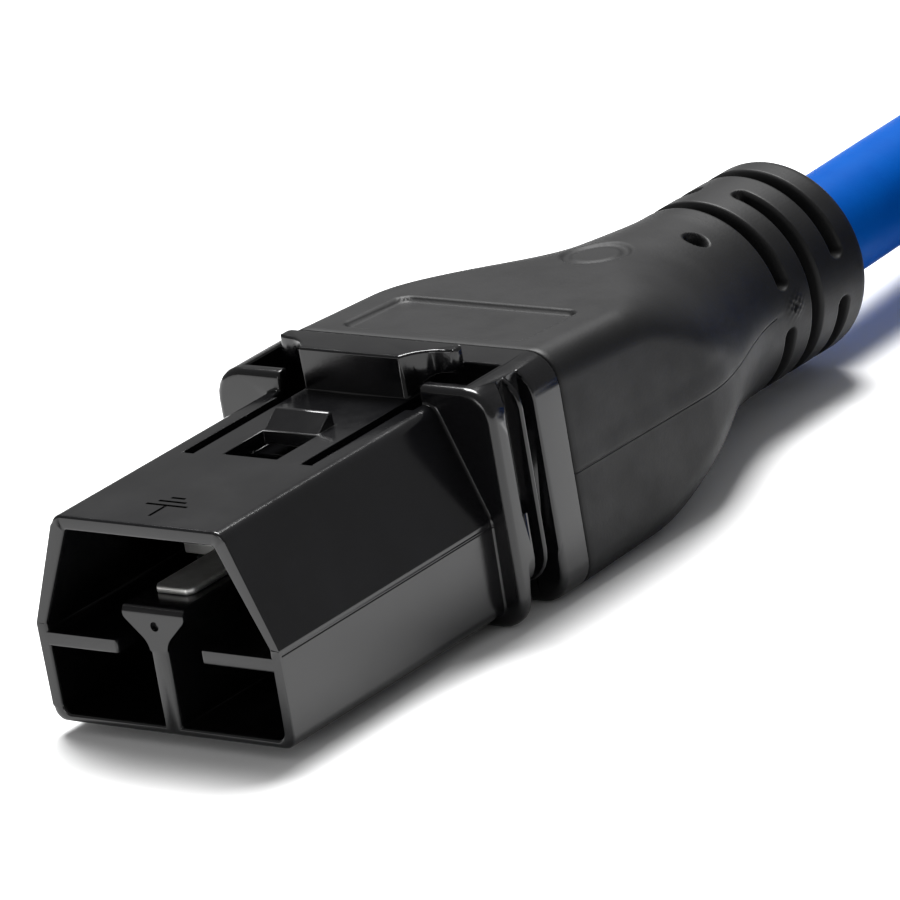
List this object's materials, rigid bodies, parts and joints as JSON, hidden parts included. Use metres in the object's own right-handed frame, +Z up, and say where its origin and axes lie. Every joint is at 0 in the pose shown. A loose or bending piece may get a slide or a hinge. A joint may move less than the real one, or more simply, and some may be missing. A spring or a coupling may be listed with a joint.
{
  "type": "genderless power connector",
  "caption": "Overmoulded three-pole genderless power connector with a latching hexagonal nose, a ribbed collar and a slotted strain relief, on a coiled round cable.",
  "frame": {"origin": "centre of the connector's own footprint, on the surface that it lies on, without the free cable", "axes": "+Y from the mating face towards the cable, +Z up through the latch, +X to the right seen from the mating face"},
  "size_m": [0.113, 0.2032, 0.0201],
  "materials": {
    "housing_plastic": "glossy black moulded thermoplastic",
    "inner_plastic": "dark grey moulded thermoplastic",
    "overmould_vinyl": "satin black flexible vinyl with a fine eroded texture",
    "plated_contact": "silver plated copper",
    "spring_steel": "stainless spring strip",
    "copper_strands": "fine bare copper strands",
    "earth_insulation": "green vinyl insulation with a yellow stripe",
    "left_insulation": "blue vinyl insulation",
    "right_insulation": "brown vinyl insulation",
    "cable_vinyl": "satin blue vinyl jacket",
    "tie_fabric": "black hook and loop strap"
  },
  "bodies": {
    "root": {"housing": "housing_plastic", "inner_mould": "inner_plastic", "overmould": "overmould_vinyl", "earth_contact": "plated_contact", "power_contact_left": "plated_contact", "power_contact_right": "plated_contact", "spring_left": "spring_steel", "spring_right": "spring_steel", "earth_strands": "copper_strands", "left_strands": "copper_strands", "right_strands": "copper_strands", "earth_core": "earth_insulation", "left_core": "left_insulation", "right_core": "right_insulation", "cable_jacket": "cable_vinyl", "cable_run": "cable_vinyl", "cable_coil": "cable_vinyl", "cable_tail": "cable_vinyl", "coil_tie_left": "tie_fabric", "coil_tie_right": "tie_fabric", "tail_earth_core": "earth_insulation", "tail_left_core": "left_insulation", "tail_right_core": "right_insulation", "tail_earth_strands": "copper_strands", "tail_left_strands": "copper_strands", "tail_right_strands": "copper_strands"}
  },
  "joints": []
}
